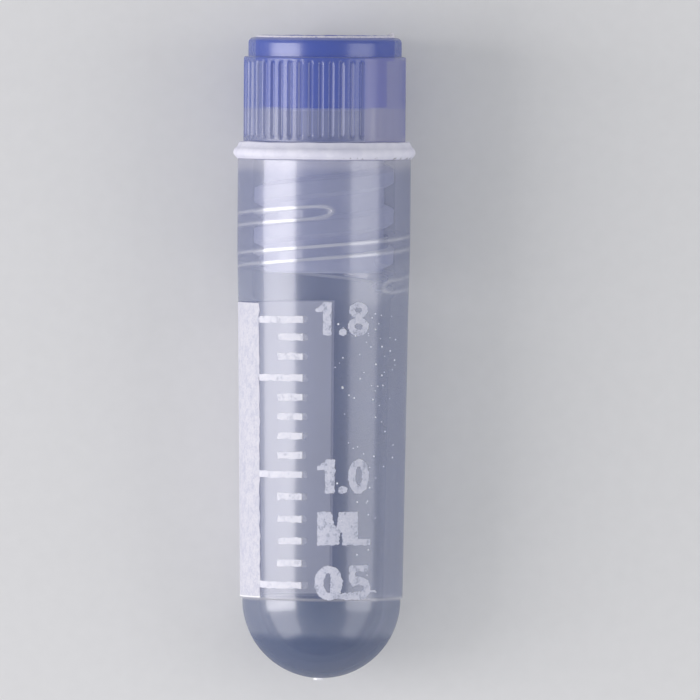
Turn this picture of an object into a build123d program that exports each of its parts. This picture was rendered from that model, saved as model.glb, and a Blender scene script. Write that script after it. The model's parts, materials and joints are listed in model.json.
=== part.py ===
# An internally threaded cryovial lying on its side: tube, screw cap, seal ring and colour insert.
# Every piece is drawn upright, with z = 0 at the bottom of the dome and the print facing -Y,
# and the closed vial is laid down once, at the end.
from math import asin, atan2, cos, degrees, hypot, radians, sin, sqrt, tan
import os

from build123d import *

# --- tube, outside (mm) ---
tube_length = 38.77          # dome bottom to the flat rim of the mouth
dome_radius = 5.90           # the round bottom's half width
dome_height = 5.69           # the round bottom is a little flatter than a ball
ledge_height = 6.00          # where the body steps out over the round bottom
ledge_step = 0.15
ledge_edge = 0.08            # broken edge
body_draft = 0.76            # degrees, so that the tube leaves its mould
shoulder_height = 27.50      # the drafted body ends here
neck_radius = 6.45
neck_length = 6.77           # straight stretch with the rim, measured down from the mouth
rim_edge = 0.06
gate_radius = 0.36           # the nib that the mould's gate leaves
gate_height = 0.15
gate_offset = 0.20           # it sits a little off the axis

# --- tube, inside ---
mouth_wall = 1.15            # wall around the threaded mouth
mouth_depth = 10.25          # of the threaded bore
mouth_chamfer = 0.22
well_wall = 1.33             # wall of the sample well where the drafted body ends
well_draft = 1.0             # degrees
floor_wall = 1.15            # at the very bottom

# --- screw thread, single start, right hand ---
thread_lead = 3.00           # rise per turn
thread_flank = 25            # degrees, each flank from square
thread_seat = 0.10           # gap left between the loaded flanks
thread_clearance = 0.10      # crest of the cap's ridge to the tube's bore
thread_run_out = 26          # degrees of turn over which a ridge fades away
thread_facet = 22.5          # degrees between the sections of a ridge
thread_root_sink = 0.25      # a ridge's section starts this deep in the wall that carries it
mouth_ridge_width = 1.15     # tube's ridge at its foot, along the axis
mouth_ridge_depth = 0.50
mouth_ridge_start = 42.7     # degrees from the front, towards the right
mouth_ridge_below = 9.52     # mouth down to the middle of the ridge's lower end
mouth_ridge_turns = 1.90
plug_ridge_width = 1.00      # cap's ridge at its crest, along the axis
plug_ridge_margin = 0.10     # left under the full ridge at the plug's bottom
plug_ridge_turns = 2.20

# --- seal ring ---
seal_thickness = 1.27
seal_bulge = 0.35            # how far the soft lip is squeezed out past the neck
seal_bulge_height = 0.46     # of the widest place above the ring's underside
seal_lip_round = 0.42
seal_foot_step = 0.05        # the ring's foot past the neck
seal_top_step = 0.305        # and its top past the grip
seal_clearance = 0.08        # around the cap's plug

# --- cap ---
grip_radius = 6.045
grip_height = 6.34           # flange underside to the collar's foot
grip_edge = 0.14
collar_radius = 5.72
collar_height = 1.42
collar_round = 0.42
rib_count = 48               # places for a groove around the grip
smooth_count = 8             # of them left plain, in a stretch on the right
smooth_middle = 61           # degrees from the front, towards the right
groove_width = 0.30
groove_depth = 0.17
groove_foot = 0.26           # plain band left under the grooves
groove_head = 0.22           # and above them
plug_length = 9.74           # flange underside to the plug's bottom
plug_radius = 4.47           # at the foot of its ridge
plug_edge = 0.22
plug_wall = 1.15
plug_floor = 1.20
socket_clearance = 0.03      # around the pressed-in insert

# --- colour insert ---
insert_head_radius = 5.15
insert_head_height = 1.85
insert_stem_radius = 4.60
insert_stem_length = 3.44
insert_proud = 0.12          # it stands this much above the collar
insert_edge = 0.12
insert_wall = 1.05           # the stem is a cup, open downwards
insert_top = 1.90

# --- places that follow from the sizes above ---
bore_radius = neck_radius - mouth_wall
body_foot_radius = dome_radius + ledge_step
body_foot = ledge_height + ledge_edge
body_top_radius = body_foot_radius + (shoulder_height - body_foot) * tan(radians(body_draft))
neck_foot = tube_length - neck_length
mouth_foot = tube_length - mouth_depth
well_top_radius = body_top_radius - well_wall
well_top = mouth_foot - (bore_radius - well_top_radius)
well_foot_radius = well_top_radius - (well_top - dome_height) * tan(radians(well_draft))
flank_slope = tan(radians(thread_flank))
flange_underside = tube_length + seal_thickness
collar_foot = flange_underside + grip_height
cap_top = collar_foot + collar_height
plug_bottom = flange_underside - plug_length
crest_radius = bore_radius - thread_clearance
insert_face = cap_top + insert_proud
socket_step = insert_face - insert_head_height
insert_foot = socket_step - insert_stem_length


def radial_plane(angle, height):
    """A half plane of the axis: its x points outwards at that angle from the front, its y upwards."""
    outwards = Vector(sin(radians(angle)), -cos(radians(angle)), 0)
    return Plane(origin=(0, 0, height), x_dir=outwards, z_dir=outwards.cross(Vector(0, 0, 1)))


def ridge_stations(start_angle, turns):
    """Angles along a ridge, each with the share of its full section there. Both ends fade away."""
    end_angle = start_angle + 360 * turns
    fade = [0.05, 0.17, 0.36, 0.60, 0.82]
    full_sweep = 360 * turns - 2 * thread_run_out
    steps = round(full_sweep / thread_facet)
    rising = [(start_angle + thread_run_out * part, sqrt(1 - (1 - part) ** 2)) for part in fade]
    level = [(start_angle + thread_run_out + full_sweep * step / steps, 1) for step in range(steps + 1)]
    falling = [(end_angle - thread_run_out * part, sqrt(1 - (1 - part) ** 2)) for part in fade]
    return rising + level + falling[::-1]


# --- the tube's ridge, inside its mouth ---
mouth_ridge_foot = tube_length - mouth_ridge_below
with BuildPart() as mouth_ridge:
    for angle, share in ridge_stations(mouth_ridge_start, mouth_ridge_turns):
        climb = thread_lead * (angle - mouth_ridge_start) / 360
        crest = bore_radius - mouth_ridge_depth * share
        root = bore_radius + thread_root_sink
        crest_half = (mouth_ridge_width / 2 - mouth_ridge_depth * flank_slope) * share
        root_half = (mouth_ridge_width / 2 + thread_root_sink * flank_slope) * share
        with BuildSketch(radial_plane(angle, mouth_ridge_foot + climb)):
            with BuildLine():
                Polyline(
                    (crest, -crest_half),
                    (root, -root_half),
                    (root, root_half),
                    (crest, crest_half),
                    close=True,
                )
            make_face()
    loft()

# --- tube, one moulding: body, round bottom, ledge, gate nib and threaded mouth ---
with BuildPart() as tube:
    with BuildSketch(Plane.XZ):
        with BuildLine():
            TangentArc((0, 0), (dome_radius, dome_height), tangent=(1, 0))
            Polyline(
                (dome_radius, dome_height),
                (dome_radius, ledge_height),
                (body_foot_radius - ledge_edge, ledge_height),
                (body_foot_radius, body_foot),
                (body_top_radius, shoulder_height),
                (neck_radius, neck_foot),
                (neck_radius, tube_length - rim_edge),
                (neck_radius - rim_edge, tube_length),
                (bore_radius + mouth_chamfer, tube_length),
                (bore_radius, tube_length - mouth_chamfer),
                (bore_radius, mouth_foot),
                (well_top_radius, well_top),
                (well_foot_radius, dome_height),
            )
            TangentArc((0, floor_wall), (well_foot_radius, dome_height), tangent=(1, 0))
            Line((0, floor_wall), (0, 0))
        make_face()
    revolve(axis=Axis.Z)
    add(mouth_ridge.part)
    with BuildSketch(Plane.XY.offset(-gate_height)):
        with Locations((-gate_offset, 0)):
            Circle(gate_radius)
    extrude(amount=gate_height + floor_wall / 2)
tube.part.label = "tube"

# --- the cap's ridge, around its plug ---
# The closed cap pulls down: its ridge lies under the tube's ridge, one seat gap below it.
crest_overlap_half = mouth_ridge_width / 2 - thread_clearance * flank_slope
ridge_spacing = crest_overlap_half + plug_ridge_width / 2 + thread_seat
plug_root_half = plug_ridge_width / 2 + (crest_radius - plug_radius) * flank_slope
plug_ridge_foot = plug_bottom + plug_ridge_margin + plug_root_half
plug_ridge_turn = (plug_ridge_foot - (mouth_ridge_foot - ridge_spacing)) / thread_lead
plug_ridge_start = mouth_ridge_start + 360 * plug_ridge_turn
with BuildPart() as plug_ridge:
    for angle, share in ridge_stations(plug_ridge_start, plug_ridge_turns):
        climb = thread_lead * (angle - plug_ridge_start) / 360
        crest = plug_radius + (crest_radius - plug_radius) * share
        root = plug_radius - thread_root_sink
        crest_half = plug_ridge_width / 2 * share
        root_half = (plug_root_half + thread_root_sink * flank_slope) * share
        with BuildSketch(radial_plane(angle, plug_ridge_foot + climb)):
            with BuildLine():
                Polyline(
                    (root, -root_half),
                    (crest, -crest_half),
                    (crest, crest_half),
                    (root, root_half),
                    close=True,
                )
            make_face()
    loft()

# --- cap, one moulding: collar, ribbed grip and hollow threaded plug ---
rib_pitch = 360 / rib_count
groove_count = rib_count - smooth_count
first_groove = smooth_middle - 90 + rib_pitch * (smooth_count + 1) / 2
with BuildPart() as cap:
    with BuildSketch(Plane.XZ):
        with BuildLine():
            Polyline(
                (0, plug_bottom),
                (plug_radius, plug_bottom),
                (plug_radius, flange_underside),
                (grip_radius, flange_underside),
                (grip_radius, collar_foot),
                (collar_radius, collar_foot),
                (collar_radius, cap_top),
                (0, cap_top),
                close=True,
            )
        make_face()
        chamfer(vertices().sort_by_distance((plug_radius, plug_bottom))[0], plug_edge)
        chamfer(vertices().sort_by_distance((grip_radius, collar_foot))[0], grip_edge)
        fillet(vertices().sort_by_distance((collar_radius, cap_top))[0], collar_round)
    revolve(axis=Axis.Z)
    with BuildSketch(Plane.XY.offset(flange_underside + groove_foot)):
        with PolarLocations(grip_radius, groove_count, first_groove, rib_pitch * groove_count):
            Polygon(
                (-groove_depth, 0),
                (0, -groove_width / 2),
                (groove_depth, -groove_width),
                (groove_depth, groove_width),
                (0, groove_width / 2),
                align=None,
            )
    extrude(amount=grip_height - groove_foot - groove_head, mode=Mode.SUBTRACT)
    add(plug_ridge.part)
    with BuildSketch(Plane.XZ):
        with BuildLine():
            Polyline(
                (0, plug_bottom + plug_floor),
                (plug_radius - plug_wall, plug_bottom + plug_floor),
                (plug_radius - plug_wall, insert_foot),
                (insert_stem_radius + socket_clearance, insert_foot),
                (insert_stem_radius + socket_clearance, socket_step),
                (insert_head_radius + socket_clearance, socket_step),
                (insert_head_radius + socket_clearance, cap_top + collar_round),
                (0, cap_top + collar_round),
                close=True,
            )
        make_face()
    revolve(axis=Axis.Z, mode=Mode.SUBTRACT)
cap.part.label = "cap"

# --- seal ring, soft silicone squeezed between the flange and the rim ---
with BuildPart() as seal_ring:
    bulge_height = tube_length + seal_bulge_height
    bulge_radius = neck_radius + seal_bulge
    bulge_middle = bulge_radius - seal_lip_round
    with BuildSketch(Plane.XZ):
        with BuildLine():
            Polyline(
                (plug_radius + seal_clearance, tube_length),
                (plug_radius + seal_clearance, flange_underside),
                (grip_radius + seal_top_step, flange_underside),
                (bulge_radius, bulge_height),
                (neck_radius + seal_foot_step, tube_length),
                close=True,
            )
        make_face()
        with Locations((bulge_middle, bulge_height)):
            Circle(seal_lip_round)
    revolve(axis=Axis.Z)
seal_ring.part.label = "seal_ring"

# --- colour insert ---
with BuildPart() as colour_insert:
    with BuildSketch(Plane.XZ):
        with BuildLine():
            Polyline(
                (0, insert_face - insert_top),
                (insert_stem_radius - insert_wall, insert_face - insert_top),
                (insert_stem_radius - insert_wall, insert_foot),
                (insert_stem_radius, insert_foot),
                (insert_stem_radius, socket_step),
                (insert_head_radius, socket_step),
                (insert_head_radius, insert_face),
                (0, insert_face),
                close=True,
            )
        make_face()
        chamfer(vertices().sort_by_distance((insert_head_radius, insert_face))[0], insert_edge)
    revolve(axis=Axis.Z)
colour_insert.part.label = "colour_insert"

# --- laid down on its seal ring and its ledge, cap towards +Y and print up, as it comes to rest ---
rise = bulge_middle - body_foot_radius
run = bulge_height - body_foot
lean = degrees(atan2(rise, run) + asin(seal_lip_round / hypot(rise, run)))
lean_sine = sin(radians(lean))
lean_cosine = cos(radians(lean))
axis_lift = seal_lip_round + bulge_middle * lean_cosine - bulge_height * lean_sine
cap_reach = insert_face * lean_cosine + (insert_head_radius - insert_edge) * lean_sine
gate_reach = gate_height * lean_cosine + gate_radius * lean_sine
resting_place = Location((0, (gate_reach - cap_reach) / 2, axis_lift), (lean - 90, 0, 0))
os.makedirs("parts", exist_ok=True)
for piece in (tube, cap, seal_ring, colour_insert):
    piece.part.move(resting_place)

export_step(tube.part, "parts/tube.step")
export_step(cap.part, "parts/cap.step")
export_step(seal_ring.part, "parts/seal_ring.step")
export_step(colour_insert.part, "parts/colour_insert.step")

print(f"The vial leans {lean:.3f} degrees, its axis starts at {axis_lift:.3f} mm up")
print(f"The cap's ridge starts at {plug_ridge_start % 360:.1f} degrees from the front")
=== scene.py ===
import json
import math
from types import SimpleNamespace

import bpy
import bmesh
from mathutils import Euler, Matrix, Vector, noise


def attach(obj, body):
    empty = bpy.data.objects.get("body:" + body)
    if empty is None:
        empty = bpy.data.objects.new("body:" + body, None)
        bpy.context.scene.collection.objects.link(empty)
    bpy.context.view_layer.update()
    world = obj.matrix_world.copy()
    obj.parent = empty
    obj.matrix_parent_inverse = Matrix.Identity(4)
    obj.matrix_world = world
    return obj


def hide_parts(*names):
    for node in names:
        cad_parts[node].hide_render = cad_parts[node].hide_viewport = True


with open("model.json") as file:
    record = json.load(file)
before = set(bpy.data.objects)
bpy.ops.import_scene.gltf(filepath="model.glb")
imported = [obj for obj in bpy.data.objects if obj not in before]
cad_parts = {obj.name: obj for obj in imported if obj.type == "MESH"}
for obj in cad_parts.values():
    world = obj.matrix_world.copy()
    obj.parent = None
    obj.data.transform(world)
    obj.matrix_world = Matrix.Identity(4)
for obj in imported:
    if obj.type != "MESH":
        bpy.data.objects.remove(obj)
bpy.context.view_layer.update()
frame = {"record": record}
print("frame loaded")


# Every piece is drawn standing up, in millimetres, with the bottom of the dome at 0 and the
# print facing -Y. Angles go in degrees from the front towards the right. layDown puts it in its place.

stackSizes = {"tubeLength": 38.77, "sealThickness": 1.27, "gripHeight": 6.34, "collarHeight": 1.42,
              "insertProud": 0.12}

tubeRim = stackSizes["tubeLength"]
flangeUnderside = tubeRim + stackSizes["sealThickness"]
collarFoot = flangeUnderside + stackSizes["gripHeight"]
capTop = collarFoot + stackSizes["collarHeight"]
insertFace = capTop + stackSizes["insertProud"]

capFace = next(mount for mount in frame["record"]["mounts"] if mount["name"] == "cap_face")
axis = Vector(capFace["axis"]).normalized()
across = Vector((1, 0, 0))
turn = Matrix((across, axis.cross(across), axis)).transposed()
vialFoot = Vector(capFace["pos_m"]) - axis * insertFace / 1000
layDown = Matrix.Translation(vialFoot) @ turn.to_4x4() @ Matrix.Scale(0.001, 4)


def onTube(angle, height, radius):
    return Vector((radius * math.sin(math.radians(angle)), -radius * math.cos(math.radians(angle)), height))


def ripple(place, scale, shift=(0, 0, 0)):
    # smooth unevenness, from about -1 to 1
    return noise.noise(Vector(place) * scale + Vector(shift))


def makeObject(name, verts, faces):
    mesh = bpy.data.meshes.new(name)
    mesh.from_pydata([tuple(v) for v in verts], [], faces)
    mesh.update()
    return addToScene(name, mesh)


def addToScene(name, data):
    item = bpy.data.objects.new(name, data)
    bpy.context.scene.collection.objects.link(item)
    return item


def softCorners(points, closed=False, arcSteps=None):
    # points are (radius, height) or (radius, height, rounding); rounded corners become short arcs
    degreesAStep = 12
    outline = []
    count = len(points)
    for i, point in enumerate(points):
        here = Vector(point[:2])
        if len(point) < 3 or (not closed and i in (0, count - 1)):
            outline.append(tuple(here))
            continue
        before = (Vector(points[i - 1][:2]) - here).normalized()
        after = (Vector(points[(i + 1) % count][:2]) - here).normalized()
        half = before.angle(after) / 2
        reach = point[2] / math.tan(half)
        centre = here + (before + after).normalized() * point[2] / math.sin(half)
        start, end = here + before * reach - centre, here + after * reach - centre
        swing = start.angle_signed(end)
        steps = arcSteps or max(3, round(math.degrees(abs(swing)) / degreesAStep))
        for step in range(steps + 1):
            spoke = start.copy()
            spoke.rotate(Matrix.Rotation(-swing * step / steps, 2))
            outline.append(tuple(centre + spoke))
    return outline


def fillIn(outline, longest):
    # long straight stretches get points in between, so that smooth shading stays even
    filled = [outline[0]]
    for a, b in zip(outline, outline[1:]):
        pieces = max(1, math.ceil((Vector(b) - Vector(a)).length / longest))
        for step in range(1, pieces + 1):
            filled.append((a[0] + (b[0] - a[0]) * step / pieces, a[1] + (b[1] - a[1]) * step / pieces))
    return filled


def stitch(lower, upper):
    # the faces between two rings, with triangles at a pole
    faces = []
    for c in range(len(lower)):
        d = (c + 1) % len(lower)
        corners = [lower[c], lower[d], upper[d], upper[c]]
        corners = [v for i, v in enumerate(corners) if v != corners[i - 1]]
        if len(corners) > 2:
            faces.append(corners)
    return faces


def turnOutline(name, outline, columns, closed=False):
    # the outline runs anticlockwise, bottom first; a point on the axis becomes a pole
    verts, rings = [], []
    for radius, height in outline:
        if radius < 1e-6:
            rings.append([len(verts)] * columns)
            verts.append((0, 0, height))
        else:
            rings.append([len(verts) + c for c in range(columns)])
            verts += [onTube(360 * c / columns, height, radius) for c in range(columns)]
    if closed:
        rings.append(rings[0])
    return makeObject(name, verts, [face for pair in zip(rings, rings[1:]) for face in stitch(*pair)])


def takeMesh(item):
    # the evaluated shape becomes a plain mesh, and its modifiers go
    mesh = bpy.data.meshes.new_from_object(item.evaluated_get(bpy.context.evaluated_depsgraph_get()))
    mesh.name = item.name
    item.modifiers.clear()
    item.data = mesh


def setLayers(item, layerAt):
    # layerAt(radius, height, outward) picks which of the piece's materials a face gets
    for face in item.data.polygons:
        x, y, z = face.center
        radius = math.hypot(x, y)
        outward = (face.normal.x * x + face.normal.y * y) / max(radius, 1e-6)
        face.material_index = layerAt(radius, z, outward)


def addSolid(base, extra):
    # both keep the three material slots that setLayers counts on
    for item in (base, extra):
        while len(item.data.materials) < 3:
            item.data.materials.append(None)
    join = base.modifiers.new("join", "BOOLEAN")
    join.operation = "UNION"
    join.solver = "EXACT"
    join.object = extra
    bpy.context.view_layer.update()
    takeMesh(base)
    bpy.data.objects.remove(extra)


def shade(item, edgeAngle=32):
    item.data.shade_smooth()
    item.data.set_sharp_from_angle(angle=math.radians(edgeAngle))


def finishPiece(item, materials, body, nodes=()):
    item.data.transform(layDown)
    item.data.update()
    layers = [face.material_index for face in item.data.polygons]
    item.data.materials.clear()
    for material in materials:
        item.data.materials.append(material)
    item.data.polygons.foreach_set("material_index", [min(layer, len(materials) - 1) for layer in layers])
    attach(item, body)
    if nodes:
        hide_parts(*nodes)
    print(item.name, len(item.data.polygons), "faces")


class Signal:
    # one output of a node; arithmetic on these adds Math nodes
    def __init__(self, nodes, socket):
        self.nodes = nodes
        self.socket = socket

    def __add__(self, other):
        return self.nodes.maths("ADD", self, other)

    __radd__ = __add__

    def __sub__(self, other):
        return self.nodes.maths("SUBTRACT", self, other)

    def __rsub__(self, other):
        return self.nodes.maths("SUBTRACT", other, self)

    def __mul__(self, other):
        return self.nodes.maths("MULTIPLY", self, other)

    __rmul__ = __mul__

    def __truediv__(self, other):
        return self.nodes.maths("DIVIDE", self, other)

    def __rtruediv__(self, other):
        return self.nodes.maths("DIVIDE", other, self)

    def between(self, low, high):
        # 0 below low, 1 above high, and smooth from one to the other
        return self.nodes.node("ShaderNodeMapRange", {"interpolation_type": "SMOOTHSTEP"},
                               {"Value": self, "From Min": low, "From Max": high})

    def within(self, low, high, soft):
        # 1 from low to high, and None leaves that end open
        share = 1.0
        if low is not None:
            share = share * self.between(low, low + soft)
        if high is not None:
            share = share * (1 - self.between(high - soft, high))
        return share


class Nodes:
    # adds nodes to the tree of a material or of a shape
    def __init__(self, tree):
        self.tree = tree

    def node(self, kind, settings=None, values=None, output=0):
        made = self.tree.nodes.new(kind)
        for key, value in (settings or {}).items():
            setattr(made, key, value)
        for key, value in (values or {}).items():
            socket = made.inputs[key]
            if isinstance(value, Signal):
                self.tree.links.new(value.socket, socket)
            elif socket.type == "RGBA" and len(value) == 3:
                socket.default_value = (*value, 1)
            else:
                socket.default_value = value
        return Signal(self, made.outputs[output]) if made.outputs else None

    def maths(self, operation, a, b=0.0, c=0.0):
        return self.node("ShaderNodeMath", {"operation": operation}, {0: a, 1: b, 2: c})

    def split(self, vector):
        parts = self.node("ShaderNodeSeparateXYZ", None, {0: vector}).socket.node.outputs
        return [Signal(self, part) for part in parts]

    def joined(self, x, y, z):
        return self.node("ShaderNodeCombineXYZ", None, {0: x, 1: y, 2: z})


class Paint(Nodes):
    # one material
    def __init__(self, name):
        self.material = bpy.data.materials.new(name)
        self.material.use_nodes = True
        super().__init__(self.material.node_tree)
        self.tree.nodes.clear()

    def mix(self, share, a, b):
        return self.node("ShaderNodeMix", {"data_type": "RGBA"}, {0: share, 6: a, 7: b}, 2)

    def vectors(self, operation, a, b=(0, 0, 0), output=0):
        return self.node("ShaderNodeVectorMath", {"operation": operation}, {0: a, 1: b}, output)

    def upright(self):
        # the piece's own place, turned back to standing, in millimetres
        back = turn.transposed()
        return self.node("ShaderNodeMapping", None, {
            "Vector": self.node("ShaderNodeTexCoord", None, None, "Object"),
            "Location": tuple(-(back @ vialFoot) * 1000), "Rotation": tuple(back.to_euler()),
            "Scale": (1000, 1000, 1000)})

    def flat(self, place):
        return self.vectors("MULTIPLY", place, (1, 1, 0))

    def reach(self, place):
        # how far out from the vial's axis
        return self.vectors("LENGTH", self.flat(place), output="Value")

    def spoke(self, place):
        # the direction straight out from the vial's axis
        return self.vectors("NORMALIZE", self.flat(place))

    def facing(self, place):
        # 1 where the surface looks straight to or from the vial's axis, less where it slopes
        normal = self.node("ShaderNodeMapping", {"vector_type": "VECTOR"}, {
            "Vector": self.node("ShaderNodeTexCoord", None, None, "Normal"),
            "Rotation": tuple(turn.transposed().to_euler())})
        return self.maths("ABSOLUTE", self.vectors("DOT_PRODUCT", normal, self.spoke(place), "Value"))

    def sector(self, place, middle, half, outer, inner):
        # 1 in a stretch round the vial, as far as half to each side; outer and inner soften its ends
        aim = tuple(onTube(middle, 0, 1))
        closeness = self.vectors("DOT_PRODUCT", self.spoke(place), aim, "Value")
        return closeness.between(math.cos(math.radians(half + outer)), math.cos(math.radians(half - inner)))

    def noise(self, place, scale, detail=3.0, roughness=0.5, stretch=None):
        if stretch:
            place = self.node("ShaderNodeMapping", None, {"Vector": place, "Scale": stretch})
        return self.node("ShaderNodeTexNoise", None,
                         {"Vector": place, "Scale": scale, "Detail": detail, "Roughness": roughness})

    def bump(self, height, strength, distance):
        return self.node("ShaderNodeBump", None,
                         {"Height": height, "Strength": strength, "Distance": distance})

    def finish(self, **sockets):
        values = {key.replace("_", " "): value for key, value in sockets.items()}
        shader = self.node("ShaderNodeBsdfPrincipled", None, values)
        self.node("ShaderNodeOutputMaterial", None, {0: shader})
        return self.material


class Shape(Nodes):
    # one geometry tree, with its sizes as named inputs
    def __init__(self, name, sizes):
        super().__init__(bpy.data.node_groups.new(name, "GeometryNodeTree"))
        kinds = {int: "NodeSocketInt", float: "NodeSocketFloat", tuple: "NodeSocketVector"}
        sockets = self.tree.interface
        sockets.new_socket("base", in_out="INPUT", socket_type="NodeSocketGeometry")
        for label, value in sizes.items():
            sockets.new_socket(label, in_out="INPUT", socket_type=kinds[type(value)]).default_value = value
        sockets.new_socket("material", in_out="INPUT", socket_type="NodeSocketMaterial")
        sockets.new_socket("shape", in_out="OUTPUT", socket_type="NodeSocketGeometry")
        given = [socket for socket in self.tree.nodes.new("NodeGroupInput").outputs if socket.name]
        self.given = SimpleNamespace(**{socket.name: Signal(self, socket) for socket in given})

    def close(self, shape):
        real = self.node("GeometryNodeRealizeInstances", None, {0: shape})
        painted = self.node("GeometryNodeSetMaterial", None, {0: real, "Material": self.given.material})
        self.node("NodeGroupOutput", None, {0: painted})
        return self.tree


def useTree(item, tree, sizes, material):
    modifier = item.modifiers.new(tree.name, "NODES")
    modifier.node_group = tree
    sockets = {s.name: s.identifier for s in tree.interface.items_tree if s.in_out == "INPUT"}
    for label, value in {**sizes, "material": material}.items():
        modifier[sockets[label]] = value
    item.data.update()
    bpy.context.view_layer.update()
    takeMesh(item)


# The single-start thread: one ridge inside the mouth of the tube and one round the cap's plug.
ridgeSizes = {
    "lead": 3.00, "runOut": 26, "flank": 25, "sunk": 0.25,
    "tubeStart": 42.7, "tubeFoot": 29.25, "tubeTurns": 1.90, "tubeWidth": 1.15, "tubeDepth": 0.50,
    "plugStart": 57.0, "plugFoot": 31.24, "plugTurns": 2.20, "plugWidth": 1.00, "crestGap": 0.10,
    "tubeEdge": 0.13, "plugEdge": 0.12,
    "fadeSteps": 10, "degreesAStep": 3, "thinnest": 0.03,
}


def sweepRidge(name, start, foot, turns, section):
    # section(share) gives the ridge's closed outline where that share of it is left
    s = SimpleNamespace(**ridgeSizes)
    sweep = 360 * turns
    quarter = 90 / s.fadeSteps
    marks = [s.runOut * (1 - math.cos(math.radians(quarter * i))) for i in range(s.fadeSteps)]
    level = round((sweep - 2 * s.runOut) / s.degreesAStep)
    fadeOut = [sweep - mark for mark in reversed(marks[:-1])]
    marks += [s.runOut + (sweep - 2 * s.runOut) * (i + 1) / level for i in range(level)] + fadeOut
    verts, rings = [], []
    for mark in marks:
        left = min(mark, sweep - mark, s.runOut) / s.runOut
        share = max(math.sqrt(max(1 - (1 - left) ** 2, 0)), s.thinnest)
        outline = section(share)
        rings.append([len(verts) + i for i in range(len(outline))])
        base = foot + s.lead * mark / 360
        verts += [onTube(start + mark, base + rise, radius) for radius, rise in outline]
    faces = [face for pair in zip(rings, rings[1:]) for face in stitch(*pair)]
    ridge = makeObject(name, verts, faces + [rings[0][::-1], rings[-1]])
    work = bmesh.new()
    work.from_mesh(ridge.data)
    bmesh.ops.recalc_face_normals(work, faces=work.faces)
    work.to_mesh(ridge.data)
    work.free()
    setLayers(ridge, lambda radius, z, outward: 2)
    return ridge


def threadLines(p, place, look):
    # painted highlight: white lines on the outer wall along the outline of the tube's thread, its rounded
    # ends too
    r = SimpleNamespace(**ridgeSizes)
    x, y, z = p.split(place)
    angle = p.maths("ARCTAN2", x, y * -1) * (180 / math.pi)
    turned = (z - r.tubeFoot) * (1 / r.lead) - (angle - r.tubeStart) * (1 / 360)
    off = (p.maths("FRACT", turned + 10.5) - 0.5) * r.lead     # the 10 keeps it above 0
    along = (z - off - r.tubeFoot) * (360 / r.lead)
    left = p.maths("MINIMUM", along, 360 * r.tubeTurns - along)
    short = p.maths("MAXIMUM", 1 - (left - look["endFrom"]) * (1 / look["end"]), 0.0)
    off = off * (2 / look["width"])
    reach = off * off + short * short
    return reach.between(*look["innerEdge"]) * (1 - reach.between(*look["outerEdge"]))


# Each noise is its scale to the millimetre, detail, roughness and stretch. The streaks are faint lines
# along the pull of the mould.
plasticGrain = {"cloud": (0.16, 4, 0.55), "streak": (1.3, 3, 0.6, (1, 1, 0.06)), "grain": (9.0, 2),
                "thread": (0.7, 3, 0.6), "slope": (0.60, 0.94), "ior": 1.49, "shine": 0.30, "coatIor": 4.0,
                "roughness": 0.30, "unevenness": 0.18, "relief": 0.08}


def clearPlastic(name, look):
    # "slope" is a painted highlight on faces that lean away from the axis, such as the flanks of threads and
    # ribs.
    # "bands" run round at a height. Two stretches run round the vial: one a painted highlight on the cap's
    # smooth stretch, and one the panel's white seen from inside, with painted glow from light through the
    # ink.
    own = plasticGrain
    p = Paint(name)
    place = p.upright()
    z = p.split(place)[2]
    cloud, streak, grain = (p.noise(place, *own[kind]) for kind in ("cloud", "streak", "grain"))
    tone = (cloud * 0.6 + streak * 0.4).between(0.32, 0.68)
    colour = p.mix(tone, look["deep"], look["milky"])
    alpha, coat = look["alpha"], look["coat"]
    relief = streak * 0.5 + grain * 0.5
    for band in look.get("bands", []):
        height = z + (cloud - 0.5) * band["soft"]
        share = height.within(band.get("from"), band.get("to"), band["soft"]) * band["share"]
        colour = p.mix(share, colour, band["colour"])
        if "alpha" in band:
            alpha = alpha + share * (band["alpha"] - look["alpha"])
        if "coat" in band:
            coat = coat + share * (band["coat"] - look["coat"])
    if "slope" in look:
        # painted highlight: the flanks get a lighter colour and more alpha
        slope = 1 - p.facing(place).between(*own["slope"])
        colour = p.mix(slope, colour, look["slope"])
        alpha = alpha + slope * (look["slopeAlpha"] - look["alpha"])
        coat = coat + slope * (look.get("slopeCoat", look["coat"]) - look["coat"])
    if "sheenStretch" in look:
        # painted highlight on a stretch round the vial
        sheenStretch = look["sheenStretch"]
        sheenShare = p.sector(place, sheenStretch["middle"], sheenStretch["half"], 4.6, 2.3) * z.within(None, sheenStretch["top"], 0.1)
        colour = p.mix(sheenShare * sheenStretch["share"], colour, sheenStretch["colour"])
    if "thread" in look:
        # painted highlight along the thread's outline, with more gloss and a small bump
        thread = look["thread"]
        outline = threadLines(p, place, thread)
        coat = coat + outline * (thread["coat"] - look["coat"])
        line = outline * thread["share"] * (0.45 + 1.1 * p.noise(place, *own["thread"]))
        colour = p.mix(line, colour, thread["colour"])
        relief = relief + line * thread["relief"]
        alpha = alpha + line * (thread["alpha"] - look["alpha"])
    if "inkBackedGlow" in look:
        # the panel's white seen from inside, with painted glow
        inkBackedGlow = look["inkBackedGlow"]
        middle, half = (inkBackedGlow["to"] + inkBackedGlow["from"]) / 2, (inkBackedGlow["to"] - inkBackedGlow["from"]) / 2
        near = p.sector(place, middle, half, 0.2, 0.2) * z.within(inkBackedGlow["foot"], inkBackedGlow["head"], 0.05)
        colour = p.mix(near, colour, inkBackedGlow["colour"])
        alpha = alpha + near * (inkBackedGlow["alpha"] - look["alpha"])
    return p.finish(Base_Color=colour, Alpha=alpha, IOR=own["ior"], Specular_IOR_Level=own["shine"],
                    Roughness=own["roughness"] + own["unevenness"] * grain,
                    Coat_Weight=coat, Coat_Roughness=look["coatRoughness"], Coat_IOR=own["coatIor"],
                    Normal=p.bump(relief, own["relief"], 0.0001))


def plasticLayers(looks):
    return [clearPlastic(name, look) for name, look in looks.items()]


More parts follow.
